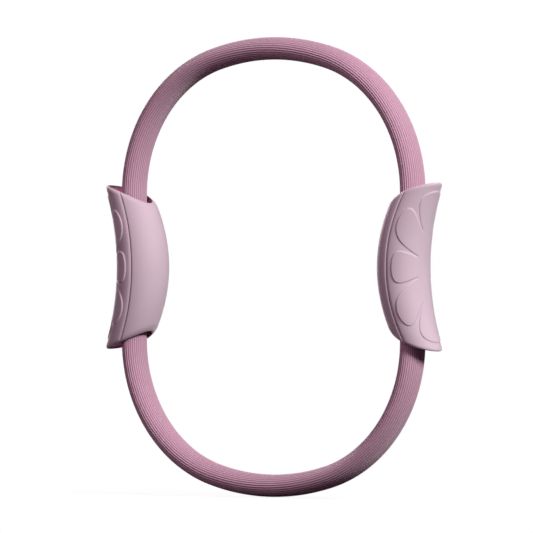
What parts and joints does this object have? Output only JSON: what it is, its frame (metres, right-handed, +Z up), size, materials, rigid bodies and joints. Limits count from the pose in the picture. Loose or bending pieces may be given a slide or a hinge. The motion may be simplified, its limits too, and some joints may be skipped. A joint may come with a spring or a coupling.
{
  "type": "pilates ring",
  "caption": "Flexible exercise ring of ribbed foam-covered spring arches between padded hollow grips that are squeezed together or pushed apart.",
  "frame": {"origin": "centre of the ring", "axes": "+Z up through the crown of the upper arch, X from the left grip to the right grip, which is the direction of the squeeze, and Y along the axis of the ring, with the viewer on the -Y side"},
  "size_m": [0.3334, 0.0434, 0.3798],
  "materials": {
    "foam_sleeve": "matte",
    "soft_skin": "matte",
    "hard_shell": "satin",
    "glass_fibre": "satin",
    "steel": "satin",
    "screw_steel": "satin"
  },
  "bodies": {
    "left_grip": {"left_outer_cover": "soft_skin", "left_inner_cover": "soft_skin", "left_outer_shell": "hard_shell", "left_inner_shell": "hard_shell", "left_outer_splice": "steel", "left_inner_splice": "steel", "left_splice_rivets": "steel", "left_grip_screws": "screw_steel", "upper_outer_leaf": "glass_fibre", "upper_inner_leaf": "glass_fibre", "lower_outer_leaf": "glass_fibre", "lower_inner_leaf": "glass_fibre", "upper_sleeve": "foam_sleeve", "lower_sleeve": "foam_sleeve"},
    "right_grip": {"right_outer_cover": "soft_skin", "right_inner_cover": "soft_skin", "right_outer_shell": "hard_shell", "right_inner_shell": "hard_shell", "right_outer_splice": "steel", "right_inner_splice": "steel", "right_splice_rivets": "steel", "right_grip_screws": "screw_steel"}
  },
  "joints": [
    {"name": "squeeze", "type": "slide", "parent": "left_grip", "child": "right_grip", "axis": [-1, 0, 0], "range_m": [-0.03, 0.08], "stiffness_N_per_m": 1250, "deforming": ["upper_outer_leaf", "upper_inner_leaf", "lower_outer_leaf", "lower_inner_leaf", "upper_sleeve", "lower_sleeve"]}
  ]
}
